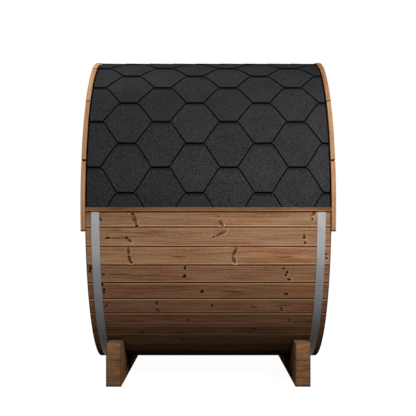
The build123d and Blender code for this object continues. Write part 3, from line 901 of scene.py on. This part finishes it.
PIN_KNOT_SHARES = (
    (0, -0.614, 0.36, 0.032, 0.028, 0),
    (0, -0.579, -0.86, 0.040, 0.028, 0),
    (0, -0.868, -0.22, 0.026, 0.028, 0),
    (0, 0.086, 0.12, 0.022, 0.020, 0),
    (0, 0.845, -0.18, 0.026, 0.024, 0),
    (1, 0.781, 0.24, 0.022, 0.020, 0),
    (1, 0.781, -0.04, 0.034, 0.030, 0),
    (1, 0.790, -0.60, 0.032, 0.026, 0),
    (1, -0.815, -0.10, 0.056, 0.026, 0),
    (1, -0.665, -0.10, 0.038, 0.028, 0),
    (1, 0.045, 0.00, 0.026, 0.022, 0),
    (2, -0.648, -0.12, 0.030, 0.026, 0),
    (2, -0.630, -0.68, 0.040, 0.028, -20),
    (2, 0.962, 0.20, 0.026, 0.024, 0),
    (2, 0.968, -0.25, 0.030, 0.026, 0),
    (3, -0.190, 0.70, 0.052, 0.026, 88),
    (3, -0.195, -0.28, 0.048, 0.038, 70),
    (3, -0.860, -0.06, 0.034, 0.026, 0),
    (3, -0.966, 0.66, 0.040, 0.050, 0),
    (3, -0.974, 0.28, 0.030, 0.036, 0),
    (3, 0.620, 0.62, 0.040, 0.022, 0),
    (3, 0.650, 0.20, 0.034, 0.034, 0),
    (3, 0.640, -0.14, 0.030, 0.026, 0),
    (3, 0.668, -0.64, 0.044, 0.028, 0),
    (4, -0.876, 0.72, 0.028, 0.042, 0),
    (4, -0.862, 0.12, 0.034, 0.034, 0),
    (4, -0.866, -0.24, 0.030, 0.028, 0),
    (4, -0.050, -0.13, 0.044, 0.040, 70),
    (4, 0.650, -0.43, 0.044, 0.034, 0),
    (5, -0.420, -0.62, 0.078, 0.024, -40),
    (5, 0.035, 0.02, 0.038, 0.030, 60),
    (5, 0.392, -0.13, 0.094, 0.017, 0),
    (6, -0.165, -0.15, 0.044, 0.028, -20),
    (7, 0.400, 0.35, 0.040, 0.024, 0),
    (8, -0.215, 0.23, 0.044, 0.030, 0),
)
STREAK_KNOT_SHARES = (
    (1, -0.745, -0.10, 0.240, 0.014, 0),
    (2, 0.630, -0.12, 0.160, 0.013, 2),
    (2, -0.240, -0.10, 0.150, 0.013, 0),
    (3, -0.720, -0.05, 0.230, 0.014, 1),
    (4, 0.205, -0.10, 0.230, 0.014, 0),
    (5, 0.630, 0.05, 0.170, 0.014, 4),
)
KNOT_RING_SHARES = (0.3, 0.55, 0.8, 1.0)
KNOT_SIDES = 20
KNOT_RISE = 0.0004
KNOT_DEPTH = 0.004
# Side of a knot whose rim gets the painted highlight.
KNOT_LEE = Vector((0.8, -0.6))
FIRST_HIDDEN_BOARD = 10
KNOTS_PER_BOARD = (0, 1, 1, 2, 3)
SPIKE_CHANCE = 0.35


def hidden_knots():
    """Knots on the lower staves of the other sides, drawn from a seed."""
    draw = random.Random(sizes().knot_seed)
    spikes, pins = [], []
    for board in range(FIRST_HIDDEN_BOARD, sizes().stave_count // 2):
        for _ in range(draw.choice(KNOTS_PER_BOARD)):
            place = (board, draw.uniform(-0.82, 0.82), draw.uniform(-0.55, 0.55))
            if draw.random() < SPIKE_CHANCE:
                spikes.append((*place, draw.uniform(0.06, 0.10), 0.030, draw.uniform(-85, 85)))
            else:
                length, width = draw.uniform(0.026, 0.040), draw.uniform(0.022, 0.032)
                pins.append((*place, length, width, draw.uniform(-30, 30)))
    return spikes, pins


def add_knot(points, faces, hearts, lees, knot):
    """Adds one knot as a low lens let into its board."""
    board, along_share, across_share, length, width, tilt = knot
    pitch = FULL_TURN / sizes().stave_count
    middle_angle = -(board + 0.5) * pitch
    half_board = STAVE_APOTHEM * math.tan(pitch / 2)
    outward = on_barrel(0, middle_angle, 1) - on_barrel(0, middle_angle, 0)
    upward = Vector((1, 0, 0)).cross(outward) * -1
    centre = on_barrel(along_share * STAVE_HALF_LENGTH, middle_angle, STAVE_APOTHEM)
    centre += upward * across_share * half_board
    turn = Matrix.Rotation(math.radians(tilt), 2)
    start = len(points)
    points.append(centre + outward * KNOT_RISE)
    hearts.append(1.0)
    lees.append(0.5)
    for share in KNOT_RING_SHARES:
        rise = KNOT_RISE * (1 - share ** 2)
        for side in range(KNOT_SIDES):
            step = FULL_TURN * side / KNOT_SIDES
            flat = turn @ Vector((math.cos(step) * length / 2 * share, math.sin(step) * width / 2 * share))
            points.append(centre + Vector((flat.x, 0, 0)) + upward * flat.y + outward * rise)
            hearts.append(1.0 - share)
            lees.append(0.5 + 0.5 * flat.normalized().dot(KNOT_LEE))
    points.append(centre - outward * KNOT_DEPTH)
    hearts.append(0.0)
    lees.append(0.5)
    foot = len(points) - 1
    outer = start + 1 + (len(KNOT_RING_SHARES) - 1) * KNOT_SIDES
    for side in range(KNOT_SIDES):
        after = (side + 1) % KNOT_SIDES
        faces.append((start, start + 1 + side, start + 1 + after))
        for ring in range(len(KNOT_RING_SHARES) - 1):
            inner = start + 1 + ring * KNOT_SIDES
            faces.append((inner + side, inner + KNOT_SIDES + side, inner + KNOT_SIDES + after, inner + after))
        faces.append((outer + side, foot, outer + after))


class FinishStaves(bpy.types.Operator):
    """Oils the staves and lets in their knots"""

    bl_idname = "sauna.finish_staves"
    bl_label = "Staves and Knots"

    def execute(self, context):
        finish_nodes(
            stave_finish(), "front_upper_staves", "top_staves", "back_upper_staves", "back_lower_staves",
            "bottom_staves", "front_lower_staves")
        spike_heart = tinted(colours().stave, 0.45)
        pin_heart = tinted(colours().stave, 0.14)
        streak_heart = dyed(colours().stave, (0.46, 0.36, 0.30))
        hidden_spikes, hidden_pins = hidden_knots()
        for name, shares, heart_colour, raggedness, dark_from, rim_highlight in (
                ("spike_knots", (*SPIKE_KNOT_SHARES, *hidden_spikes), spike_heart, 0.85, 0.74, 0.8),
                ("pin_knots", (*PIN_KNOT_SHARES, *hidden_pins), pin_heart, 0.7, 0.54, 0.85),
                ("streak_knots", STREAK_KNOT_SHARES, streak_heart, 0.35, 0.76, 0.1)):
            points, faces, hearts, lees = [], [], [], []
            for knot in shares:
                add_knot(points, faces, hearts, lees, knot)
            material = knot_finish(f"cedar_{name}", heart_colour, raggedness, dark_from, rim_highlight)
            knots = new_piece(name, points, faces, [material])
            give_attribute(knots, "heart", "POINT", hearts)
            give_attribute(knots, "lee", "POINT", lees)
        return {"FINISHED"}


# Shingles
MINERAL, CUT_EDGE = 0, 1
FIRST_ROW, FIRST_TAB_ROW = -2, -1
NARROWEST_SHARE = 0.01
LAP_SHADE_SHARE = 0.42
TAB_TONE_SPREAD = 0.065
TAB_STEPS = 4
SHEETS = 3
LIP_DROP_SHARE = 0.92
RIDGE_LEAST_SHARE = 0.5
SHINGLE_THICKNESS_SHARE = 0.8
CAP_SEED = 5
CAP_ARC_STEPS = 10
CAP_LENGTH_SHARE = 1.9
CAP_START_LIFT, CAP_END_LIFT = 2.0, 0.1
CAP_THICKNESS_SHARE = 0.9


class RoofSide:
    """Lays the courses of one side of the roof, sharing the points that faces have in common."""

    def __init__(self, mirrored, seed):
        self.mirrored = mirrored
        self.draw = random.Random(seed)
        self.points = []
        self.index = {}
        self.shades = []
        self.faces = []
        self.tones = []
        self.edges = []
        rise = BATTEN_HIGH.z - AXIS_HEIGHT
        self.eave = math.asin(rise / ROOF_RADIUS)
        self.step = sizes().course_exposure / ROOF_RADIUS
        self.first = self.eave + sizes().eave_course_height / ROOF_RADIUS
        self.rows = math.floor((RIGHT_ANGLE - self.first) / self.step - RIDGE_LEAST_SHARE)
        self.base = BAND_HIGH.z - AXIS_HEIGHT + sizes().band_thickness
        self.sheet = (ROOF_RADIUS - self.base) / SHEETS
        self.face_end = ROOF_HALF_LENGTH - sizes().slant_lip

    def row_angle(self, row):
        """Angle of a course's lower edge."""
        return self.first + row * self.step

    def share_of_step(self, row, angle):
        """How far up a course an angle lies, as a share of its exposure."""
        return (angle - self.row_angle(row)) / self.step

    def top_radius(self, row, angle):
        """Face of a course: three sheets high at its lower edge, one where it ends under the next but one."""
        return self.base + self.sheet * (SHEETS - self.share_of_step(row, angle))

    def lip_radius(self, row, angle):
        """Foot of the cut edge, close over the course below."""
        return self.top_radius(row, angle) - LIP_DROP_SHARE * self.sheet

    def tab_radius(self, row, angle):
        """Face of a tab, which stands up at its lower edge."""
        return self.top_radius(row, angle) + sizes().tab_rise * (1 - self.share_of_step(row, angle))

    def point(self, x, angle, radius, shade=1.0):
        """Number of the point at a place, made when it is first asked for."""
        key = (round(x, 5), round(angle, 6), round(radius, 6))
        if key not in self.index:
            place = on_barrel(*key)
            if self.mirrored:
                place.y = -place.y
            self.index[key] = len(self.points)
            self.points.append(place)
            self.shades.append(shade)
        return self.index[key]

    def face(self, corner_points, tone, edge):
        """Adds a face, unless its corners fall together."""
        unique = list(dict.fromkeys(corner_points))
        if len(unique) < 3:
            return
        self.faces.append(unique[::-1] if self.mirrored else unique)
        self.tones.append(tone)
        self.edges.append(edge)

    def tab_centres(self, row):
        """Middles of a course's tabs, half a pitch aside in every other course."""
        pitch = sizes().tab_pitch
        first = sizes().tab_offset + (row % 2) * pitch / 2
        count = math.ceil(ROOF_HALF_LENGTH / pitch) + 1
        return [first + number * pitch for number in range(-count, count + 1)]

    def tab_sides(self, row, centre, angle):
        """Nominal and inner ends of a tab at an angle, cut off at the roof's ends."""
        share = self.share_of_step(row, angle)
        half = (sizes().tab_flat + (sizes().tab_wide - sizes().tab_flat) * share) / 2
        low = max(centre - half, -ROOF_HALF_LENGTH)
        high = min(centre + half, ROOF_HALF_LENGTH)
        inner_low = max(low + sizes().slant_lip, -self.face_end)
        inner_high = min(high - sizes().slant_lip, self.face_end)
        return low, inner_low, inner_high, high

    def lay_tab(self, row, centre, tone):
        """One tab, with its black cut edge sloping down to the course below."""
        start = self.row_angle(row)
        join = start + self.step
        sides = self.tab_sides(row, centre, join)
        if sides[0] >= ROOF_HALF_LENGTH or sides[3] <= -ROOF_HALF_LENGTH:
            return None
        cut = start < self.eave
        lowest = self.eave if cut else start
        top = lowest if cut else start + sizes().flat_lip / ROOF_RADIUS
        angles = [top + (join - top) * number / TAB_STEPS for number in range(TAB_STEPS + 1)]
        rims = []
        for angle in angles:
            low, inner_low, inner_high, high = self.tab_sides(row, centre, angle)
            high_radius = self.tab_radius(row, angle)
            low_radius = self.lip_radius(row, angle)
            if inner_low >= inner_high:
                rims.append(None)
                continue
            rims.append((
                self.point(low, angle, low_radius if low < inner_low else high_radius),
                self.point(inner_low, angle, high_radius),
                self.point(inner_high, angle, high_radius),
                self.point(high, angle, low_radius if high > inner_high else high_radius)))
        for below, above in zip(rims, rims[1:]):
            if below is None or above is None:
                continue
            self.face((below[1], below[2], above[2], above[1]), tone, MINERAL)
            self.face((below[0], below[1], above[1], above[0]), tone, CUT_EDGE)
            self.face((below[2], below[3], above[3], above[2]), tone, CUT_EDGE)
        if not cut and rims[0] is not None:
            low, _, _, high = self.tab_sides(row, centre, start)
            left = self.point(low, start, self.lip_radius(row, start))
            right = self.point(high, start, self.lip_radius(row, start))
            self.face((left, right, rims[0][2], rims[0][1]), tone, CUT_EDGE)
            self.face((left, rims[0][1], rims[0][0]), tone, CUT_EDGE)
            self.face((right, rims[0][3], rims[0][2]), tone, CUT_EDGE)
        return sides[1], sides[2], tone

    def lay_strip(self, row, tabs):
        """The strip behind the tabs of the next course, shaded where the one after laps it."""
        start = max(self.row_angle(row + 1), self.eave)
        end = min(self.row_angle(row + 2), self.row_angle(self.rows))
        if end <= start:
            return
        shade_start = end - sizes().lap_shade / ROOF_RADIUS
        overlap = end + sizes().flat_lip / ROOF_RADIUS
        angles = [start, (start + shade_start) / 2, shade_start, end, overlap]
        shades = [1.0, 1.0, 1.0, LAP_SHADE_SHARE, LAP_SHADE_SHARE]
        columns = []
        reached = -self.face_end
        for low, high, tone in tabs:
            columns.append((reached, low, 1.0))
            columns.append((low, high, tone))
            reached = high
        columns.append((reached, self.face_end, 1.0))
        for low, high, tone in columns:
            if high - low < sizes().flat_lip * NARROWEST_SHARE:
                continue
            rows = [
                (self.point(low, angle, self.top_radius(row, angle), shade),
                 self.point(high, angle, self.top_radius(row, angle), shade))
                for angle, shade in zip(angles, shades)]
            for below, above in zip(rows, rows[1:]):
                self.face((below[0], below[1], above[1], above[0]), tone, MINERAL)
        for hand in (-1, 1):
            rim = [
                (self.point(hand * self.face_end, angle, self.top_radius(row, angle), shade),
                 self.point(hand * ROOF_HALF_LENGTH, angle, self.lip_radius(row, angle), shade))[::hand]
                for angle, shade in zip(angles, shades)]
            for below, above in zip(rim, rim[1:]):
                self.face((below[0], below[1], above[1], above[0]), 1.0, CUT_EDGE)

    def lay(self):
        """Lays all the courses from the eave to the ridge."""
        for row in range(FIRST_ROW, self.rows):
            tabs = []
            for centre in self.tab_centres(row):
                tone = 1.0 + self.draw.uniform(-TAB_TONE_SPREAD, TAB_TONE_SPREAD)
                if row < FIRST_TAB_ROW:
                    _, low, high, _ = self.tab_sides(row, centre, self.row_angle(row + 1))
                    if low < high:
                        tabs.append((low, high, tone))
                    continue
                tab = self.lay_tab(row, centre, tone)
                if tab:
                    tabs.append(tab)
            self.lay_strip(row, tabs)


def thicken(piece, thickness):
    """Gives a sheet its thickness inwards, with cut edges round it."""
    modifier = piece.modifiers.new("thickness", "SOLIDIFY")
    modifier.thickness = thickness
    modifier.offset = -1
    modifier.material_offset_rim = CUT_EDGE


def ridge_caps(side):
    """Caps lapped along the ridge, each rising over the one before."""
    points, faces, tones = [], [], []
    draw = random.Random(CAP_SEED)
    count = round(2 * ROOF_HALF_LENGTH / sizes().cap_length)
    exposure = 2 * ROOF_HALF_LENGTH / count
    low_angle = side.row_angle(side.rows)
    across = CAP_ARC_STEPS + 1
    for number in range(count):
        start = -ROOF_HALF_LENGTH + number * exposure
        end = min(start + CAP_LENGTH_SHARE * exposure, ROOF_HALF_LENGTH)
        tone = 1.0 + draw.uniform(-TAB_TONE_SPREAD, TAB_TONE_SPREAD)
        first = len(points)
        for x, lift in ((start, CAP_START_LIFT), (end, CAP_END_LIFT)):
            for step in range(across):
                angle = low_angle + (math.pi - 2 * low_angle) * step / CAP_ARC_STEPS
                points.append(on_barrel(x, angle, ROOF_RADIUS + side.sheet * lift))
        for step in range(first, first + CAP_ARC_STEPS):
            faces.append((step, step + across, step + across + 1, step + 1))
            tones.append(tone)
    return points, faces, tones


class LayShingles(bpy.types.Operator):
    """Lays the hexagonal shingles and the ridge caps"""

    bl_idname = "sauna.lay_shingles"
    bl_label = "Shingles"

    def execute(self, context):
        materials = [shingle_finish(), cut_edge_finish()]
        for name, node, mirrored, seed in (
                ("front_shingles", "front_roof_courses", False, 3),
                ("back_shingles", "back_roof_courses", True, 4)):
            side = RoofSide(mirrored, seed)
            side.lay()
            piece = new_piece(name, side.points, side.faces, materials)
            give_attribute(piece, "tab_tone", "FACE", side.tones)
            give_attribute(piece, "lap_shade", "POINT", side.shades)
            piece.data.polygons.foreach_set("material_index", side.edges)
            thicken(piece, side.sheet * SHINGLE_THICKNESS_SHARE)
            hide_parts(node)
        points, faces, tones = ridge_caps(side)
        caps = new_piece("ridge_caps", points, faces, materials)
        give_attribute(caps, "tab_tone", "FACE", tones)
        give_attribute(caps, "lap_shade", "POINT", [1.0] * len(points))
        thicken(caps, side.sheet * CAP_THICKNESS_SHARE)
        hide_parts("roof_ridge_cap")
        return {"FINISHED"}


# Bands
BAND_STEPS = 180
BAND_ROUND_SHARE = 0.35
BAND_SHARP_ANGLE = math.radians(30)


def band_ring(low_x, high_x, inner, thickness):
    """A flat strap bent round the barrel, with its edges eased."""
    ease = thickness * BAND_ROUND_SHARE
    outer = inner + thickness
    section = (
        (low_x, inner), (low_x, outer - ease), (low_x + ease, outer), (high_x - ease, outer),
        (high_x, outer - ease), (high_x, inner))
    points, faces = [], []
    sides = len(section)
    for step in range(BAND_STEPS):
        angle = FULL_TURN * step / BAND_STEPS
        points += [on_barrel(x, angle, radius) for x, radius in section]
        here = step * sides
        after = ((step + 1) % BAND_STEPS) * sides
        for side in range(sides):
            turn = (side + 1) % sides
            faces.append((here + side, here + turn, after + turn, after + side))
    return points, faces


class FitBands(bpy.types.Operator):
    """Fits the two steel bands"""

    bl_idname = "sauna.fit_bands"
    bl_label = "Steel Bands"

    def execute(self, context):
        material = band_finish()
        corner_radius = STAVE_APOTHEM / math.cos(math.pi / sizes().stave_count)
        for node in ("left_band", "right_band"):
            low, high = corners(node)
            points, faces = band_ring(low.x, high.x, corner_radius, sizes().band_thickness)
            band = new_piece(f"{node}_strap", points, faces, [material], smooth=True)
            band.data.set_sharp_from_angle(angle=BAND_SHARP_ANGLE)
            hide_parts(node)
        return {"FINISHED"}


# Trim and screws
TRIM_SCREW_ANGLES = (-4.5, 4.5, 13, 19.5, 28.5, 37.5, 44, 53, 62, 68.5, 77.5, 86.5)
SCREW_SIDES = 12
SCREW_INSET = 0.02

# Rings of a screw head from its foot to the drive: radius and rise, as shares of its radius.
SCREW_RINGS = ((1.0, -0.1), (1.0, 0.1), (0.82, 0.3), (0.5, 0.38), (0.46, 0.38), (0.38, -0.05))
DRIVE_RINGS_FROM = 3
DRIVE_NOTCH_SHARE = 0.78


def screw_head(points, faces, place, outward, radius):
    """A low round head with a star-shaped drive sunk in it."""
    aside = outward.orthogonal().normalized()
    upward = outward.cross(aside)
    start = len(points)
    for number, (share, rise) in enumerate(SCREW_RINGS):
        for side in range(SCREW_SIDES):
            step = FULL_TURN * side / SCREW_SIDES
            drive = DRIVE_NOTCH_SHARE if number >= DRIVE_RINGS_FROM and side % 2 else 1.0
            flat = (aside * math.cos(step) + upward * math.sin(step)) * radius * share * drive
            points.append(place + flat + outward * radius * rise)
    for ring in range(len(SCREW_RINGS) - 1):
        here = start + ring * SCREW_SIDES
        for side in range(SCREW_SIDES):
            after = (side + 1) % SCREW_SIDES
            faces.append((here + side, here + after, here + SCREW_SIDES + after, here + SCREW_SIDES + side))
    faces.append(tuple(start + (len(SCREW_RINGS) - 1) * SCREW_SIDES + side for side in range(SCREW_SIDES)))
    faces.append(tuple(start + SCREW_SIDES - 1 - side for side in range(SCREW_SIDES)))


class FinishTrim(bpy.types.Operator):
    """Oils the end trim and the eave battens, and drives their screws"""

    bl_idname = "sauna.finish_trim"
    bl_label = "Trim and Battens"

    def execute(self, context):
        finish_nodes(
            trim_finish(), "left_front_trim", "left_back_trim", "right_front_trim", "right_back_trim")
        # The battens get a painted highlight along their lower arris.
        batten = straight_wood(
            "oiled_cedar_batten", colours().batten, "X", "Z", BATTEN_HIGH.z - BATTEN_LOW.z, BATTEN_LOW.z,
            foot_highlight=0.6)
        finish_nodes(batten, "front_eave_batten", "back_eave_batten")
        points, faces = [], []
        screw_circle = (TRIM_RADIUS + STAVE_APOTHEM) / 2 - SCREW_INSET
        for end in (-1, 1):
            for angle in TRIM_SCREW_ANGLES:
                for turned in (math.radians(angle), math.pi - math.radians(angle)):
                    place = on_barrel(end * TRIM_HIGH.x, turned, screw_circle)
                    screw_head(points, faces, place, Vector((end, 0, 0)), sizes().screw_radius)
        new_piece("trim_screws", points, faces, [fitting_finish()])
        return {"FINISHED"}


# Cradles
class FinishCradles(bpy.types.Operator):
    """Stains the two cradles"""

    bl_idname = "sauna.finish_cradles"
    bl_label = "Cradles"

    def execute(self, context):
        finish_nodes(cradle_finish(), "left_cradle", "right_cradle")
        return {"FINISHED"}


# Ends, door and floor
class FinishEnds(bpy.types.Operator):
    """Finishes the end walls, the door and the floor"""

    bl_idname = "sauna.finish_ends"
    bl_label = "Ends, Door and Floor"

    def execute(self, context):
        palette = colours()
        board = 2 * WALL_RADIUS / sizes().wall_board_count
        wall = straight_wood("oiled_cedar_walls", palette.wall, "Z", "Y", board, -WALL_RADIUS, jointed=True)
        finish_nodes(
            wall, "end_wall_boards", "door_wall_front_boards", "door_wall_back_boards",
            "door_wall_over_boards", "door_wall_under_boards")
        for name, colour, axes, start, salt, nodes in (
                ("oiled_cedar_jambs", palette.door, "ZY", -WALL_RADIUS, 31.0,
                 ("door_jamb_front", "door_jamb_back")),
                ("oiled_cedar_stiles", palette.door, "ZY", -WALL_RADIUS, 54.0, ("door_stiles",)),
                ("oiled_cedar_handle", palette.batten, "ZY", -WALL_RADIUS, 77.0, ("door_handle",)),
                ("oiled_cedar_rails", palette.door, "YZ", 0.0, 0.0, ("door_head", "door_sill", "door_rails")),
                ("bare_cedar_floor", palette.floor, "XY", -WALL_RADIUS, 0.0, ("floor_slats",)),
                ("bare_cedar_bearers", palette.floor, "YX", 0.0, 0.0, ("floor_bearers",))):
            grain_axis, board_axis = axes
            finish_nodes(straight_wood(name, colour, grain_axis, board_axis, board, start, salt), *nodes)
        finish_nodes(glass_finish(), "door_glass")
        finish_nodes(fitting_finish(), "door_hinges")
        return {"FINISHED"}


# Stage
def seen_directly(nodes, links):
    """One for rays from the camera, or by way of gloss or glass."""
    path = nodes.new("ShaderNodeLightPath")
    last = path.outputs["Is Camera Ray"]
    for name in ("Is Glossy Ray", "Is Transmission Ray"):
        node = nodes.new("ShaderNodeMath")
        node.operation = "MAXIMUM"
        links.new(last, node.inputs[0])
        links.new(path.outputs[name], node.inputs[1])
        last = node.outputs["Value"]
    return last


def white_room():
    """A white background that lights the sauna only a little."""
    world = bpy.data.worlds.new("white_room")
    world.use_nodes = True
    nodes = world.node_tree.nodes
    links = world.node_tree.links
    nodes.clear()
    light = nodes.new("ShaderNodeBackground")
    light.inputs["Strength"].default_value = stage().room_light
    white = nodes.new("ShaderNodeBackground")
    for background in (light, white):
        background.inputs["Color"].default_value = (1, 1, 1, 1)
    mix = nodes.new("ShaderNodeMixShader")
    output = nodes.new("ShaderNodeOutputWorld")
    links.new(seen_directly(nodes, links), mix.inputs["Fac"])
    links.new(light.outputs["Background"], mix.inputs[1])
    links.new(white.outputs["Background"], mix.inputs[2])
    links.new(mix.outputs["Shader"], output.inputs["Surface"])
    bpy.context.scene.world = world


def studio_floor():
    """A white floor with a faint shadow, which throws little light back up."""
    half = stage().floor_size / 2
    mesh = bpy.data.meshes.new("studio_floor")
    points = [(-half, -half, 0), (half, -half, 0), (half, half, 0), (-half, half, 0)]
    mesh.from_pydata(points, [], [(0, 1, 2, 3)])
    floor = bpy.data.objects.new("studio_floor", mesh)
    bpy.context.scene.collection.objects.link(floor)
    material = bpy.data.materials.new("white_floor")
    material.use_nodes = True
    nodes = material.node_tree.nodes
    links = material.node_tree.links
    nodes.clear()
    dull = nodes.new("ShaderNodeBsdfDiffuse")
    bounce = stage().floor_bounce
    dull.inputs["Color"].default_value = (bounce, bounce, bounce, 1)
    shaded = nodes.new("ShaderNodeBsdfDiffuse")
    shade = stage().floor_shadow
    shaded.inputs["Color"].default_value = (shade, shade, shade, 1)
    glow = nodes.new("ShaderNodeEmission")
    glow.inputs["Strength"].default_value = stage().floor_white
    both = nodes.new("ShaderNodeAddShader")
    mix = nodes.new("ShaderNodeMixShader")
    output = nodes.new("ShaderNodeOutputMaterial")
    links.new(shaded.outputs["BSDF"], both.inputs[0])
    links.new(glow.outputs["Emission"], both.inputs[1])
    links.new(seen_directly(nodes, links), mix.inputs["Fac"])
    links.new(dull.outputs["BSDF"], mix.inputs[1])
    links.new(both.outputs["Shader"], mix.inputs[2])
    links.new(mix.outputs["Shader"], output.inputs["Surface"])
    mesh.materials.append(material)


def soft_lamp(name, turn, height, strength):
    """A broad lamp far off, turned round the sauna from the front."""
    data = bpy.data.lights.new(name, "SUN")
    data.energy = strength
    data.angle = stage().lamp_softness
    lamp = bpy.data.objects.new(name, data)
    lamp.rotation_euler = (RIGHT_ANGLE - height, 0, turn)
    bpy.context.scene.collection.objects.link(lamp)


def soft_box(name, place, size, power):
    """A round soft box, turned to the barrel's middle."""
    data = bpy.data.lights.new(name, "AREA")
    data.shape = "DISK"
    data.size = size
    data.energy = power
    lamp = bpy.data.objects.new(name, data)
    lamp.location = place
    aim = Vector((0, 0, AXIS_HEIGHT)) - lamp.location
    lamp.rotation_euler = aim.to_track_quat("-Z", "Y").to_euler()
    bpy.context.scene.collection.objects.link(lamp)


class SetStage(bpy.types.Operator):
    """Sets up the camera, the lamps, the white room and its floor"""

    bl_idname = "sauna.set_stage"
    bl_label = "Stage"

    def execute(self, context):
        settings = stage()
        context.scene.view_settings.view_transform = "Standard"
        white_room()
        studio_floor()
        soft_lamp("front_lamp", 0, settings.lamp_height, settings.front_light)
        soft_lamp("back_lamp", math.pi, settings.back_lamp_height, settings.back_light)
        soft_box("near_lamp", settings.near_place, settings.near_size, settings.near_light)
        soft_box("high_lamp", settings.high_place, settings.high_size, settings.high_light)
        soft_lamp("right_lamp", RIGHT_ANGLE, settings.side_lamp_height, settings.side_light)
        soft_lamp("left_lamp", -RIGHT_ANGLE, settings.side_lamp_height, settings.side_light)
        data = bpy.data.cameras.new("camera")
        data.lens = settings.lens
        data.shift_x = settings.frame_side
        data.shift_y = settings.frame_rise
        camera = bpy.data.objects.new("camera", data)
        camera.location = (0, -settings.camera_distance, settings.camera_height)
        camera.rotation_euler = (RIGHT_ANGLE, 0, 0)
        context.scene.collection.objects.link(camera)
        context.scene.camera = camera
        return {"FINISHED"}


# Panel and start
OPERATORS = (FinishStaves, LayShingles, FitBands, FinishTrim, FinishCradles, FinishEnds, SetStage)


class SaunaPanel(bpy.types.Panel):
    """Lists the sauna's pieces, sizes and colours."""

    bl_idname = "VIEW3D_PT_sauna"
    bl_label = "Barrel Sauna"
    bl_space_type = "VIEW_3D"
    bl_region_type = "UI"
    bl_category = "Sauna"

    def draw(self, context):
        for operator in OPERATORS:
            self.layout.operator(operator.bl_idname)
        for group in (context.scene.sauna_sizes, context.scene.sauna_colours, context.scene.sauna_stage):
            box = self.layout.box()
            for name in group.__annotations__:
                box.prop(group, name)


CLASSES = (SaunaSizes, SaunaColours, SaunaStage, *OPERATORS, SaunaPanel)


def register():
    for entry in CLASSES:
        bpy.utils.register_class(entry)
    bpy.types.Scene.sauna_sizes = PointerProperty(type=SaunaSizes)
    bpy.types.Scene.sauna_colours = PointerProperty(type=SaunaColours)
    bpy.types.Scene.sauna_stage = PointerProperty(type=SaunaStage)


def unregister():
    del bpy.types.Scene.sauna_stage
    del bpy.types.Scene.sauna_colours
    del bpy.types.Scene.sauna_sizes
    for entry in reversed(CLASSES):
        bpy.utils.unregister_class(entry)


def main():
    """Dresses the sauna."""
    register()
    bpy.ops.sauna.finish_staves()
    bpy.ops.sauna.lay_shingles()
    bpy.ops.sauna.fit_bands()
    bpy.ops.sauna.finish_trim()
    bpy.ops.sauna.finish_cradles()
    bpy.ops.sauna.finish_ends()
    bpy.ops.sauna.set_stage()


if __name__ == "__main__":
    main()
